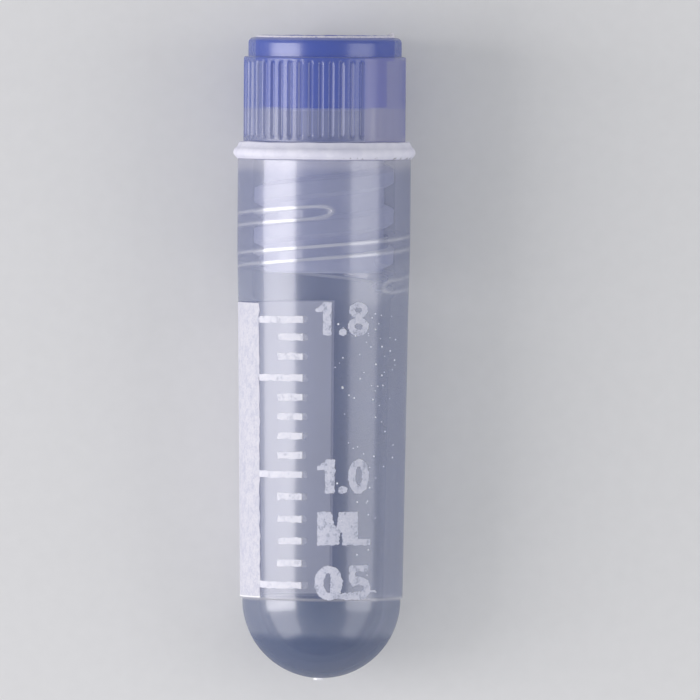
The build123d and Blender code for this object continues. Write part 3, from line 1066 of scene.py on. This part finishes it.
def makeSpecks():
    ink = whiteInk("speckInk")
    for name, field in speckFields.items():
        f = SimpleNamespace(**field)
        sizes = {"width": f.right - f.left, "height": f.head - f.foot, **dropSizes,
                 "middle": ((f.left + f.right) / 2, (f.foot + f.head) / 2, 0),
                 "perSquare": f.perSquare, "seed": f.seed}
        specks = makeObject(name, [(0, 0, 0)], [])
        useTree(specks, speckTree(sizes), sizes, ink)
        finishPrint(specks, ink)


makeSpecks()


# Soft boxes stand to the left and right of the vial, each with a weaker one nearer its foot. Their
# edges are angles: from and to from straight up, foot and head along the vial.
studioSizes = {
    "viewWidth": 52.24, "cameraHeight": 1.5, "sideways": 2.01, "upwards": 0.57, "roll": 0.39, "sensor": 36,
    "world": 0.52, "worldColour": (0.97, 0.98, 1.0, 1), "lampDistance": 0.6, "lampMargin": 0.025,
    "leftColour": (1.0, 0.965, 0.97), "rightColour": (1.0, 0.985, 1.0),
    "floorSize": 3.0, "floorDark": (0.74, 0.745, 0.755), "floorLight": (0.78, 0.785, 0.795),
}
lamps = {
    "leftBox": {"side": -1, "from": 38, "to": 88, "foot": -14, "head": 8, "level": 3.9},
    "leftFootBox": {"side": -1, "from": 38, "to": 84, "foot": -50, "head": -14, "level": 1.2},
    "rightBox": {"side": 1, "from": 36, "to": 78, "foot": -14, "head": 8, "level": 1.5},
    "rightFootBox": {"side": 1, "from": 40, "to": 74, "foot": -50, "head": -14, "level": 0.6},
}


def paleFloor():
    p = Paint("paleFloor")
    grain = p.noise(p.node("ShaderNodeTexCoord", None, None, "Object"), 900.0, 3)
    colour = p.mix(grain, studioSizes["floorDark"], studioSizes["floorLight"])
    return p.finish(Base_Color=colour, Roughness=0.7)


def makeLamp(name, look):
    s = SimpleNamespace(**studioSizes)
    away, side = s.lampDistance, look["side"]
    middle = math.radians((look["from"] + look["to"]) / 2)
    half = math.radians((look["to"] - look["from"]) / 2)
    foot, head = [away * math.tan(math.radians(a)) + math.copysign(s.lampMargin, a)
                  for a in (look["foot"], look["head"])]
    data = bpy.data.lights.new(name, "AREA")
    data.shape = "RECTANGLE"
    data.size = 2 * away * math.tan(half)
    data.size_y = head - foot
    data.energy = look["level"] * math.pi * data.size * data.size_y
    data.color = s.leftColour if side < 0 else s.rightColour
    item = addToScene(name, data)
    item.location = Vector((side * math.sin(middle), 0, math.cos(middle))) * away + Vector(
        (0, (head + foot) / 2, vialFoot.z))
    item.rotation_euler = Euler((0, side * middle, 0))


def makeStudio():
    s = SimpleNamespace(**studioSizes)
    reach = s.floorSize
    corners = [(-reach, -reach, 0), (reach, -reach, 0), (reach, reach, 0), (-reach, reach, 0)]
    floor = makeObject("studioFloor", corners, [(0, 1, 2, 3)])
    floor.data.materials.append(paleFloor())
    world = bpy.data.worlds.new("studio")
    world.use_nodes = True
    background = world.node_tree.nodes["Background"].inputs
    background["Color"].default_value = s.worldColour
    background["Strength"].default_value = s.world
    bpy.context.scene.world = world
    for name, look in lamps.items():
        makeLamp(name, look)
    data = bpy.data.cameras.new("camera")
    data.sensor_width = s.sensor
    data.lens = s.sensor * s.cameraHeight * 1000 / s.viewWidth
    data.clip_end = 10
    camera = addToScene("camera", data)
    camera.location = (s.sideways / 1000, s.upwards / 1000, s.cameraHeight + vialFoot.z)
    camera.rotation_euler = (0, 0, math.radians(s.roll))
    scene = bpy.context.scene
    scene.camera = camera
    scene.view_settings.view_transform = "Standard"
    scene.cycles.transparent_max_bounces = 32


makeStudio()
print("studio made")
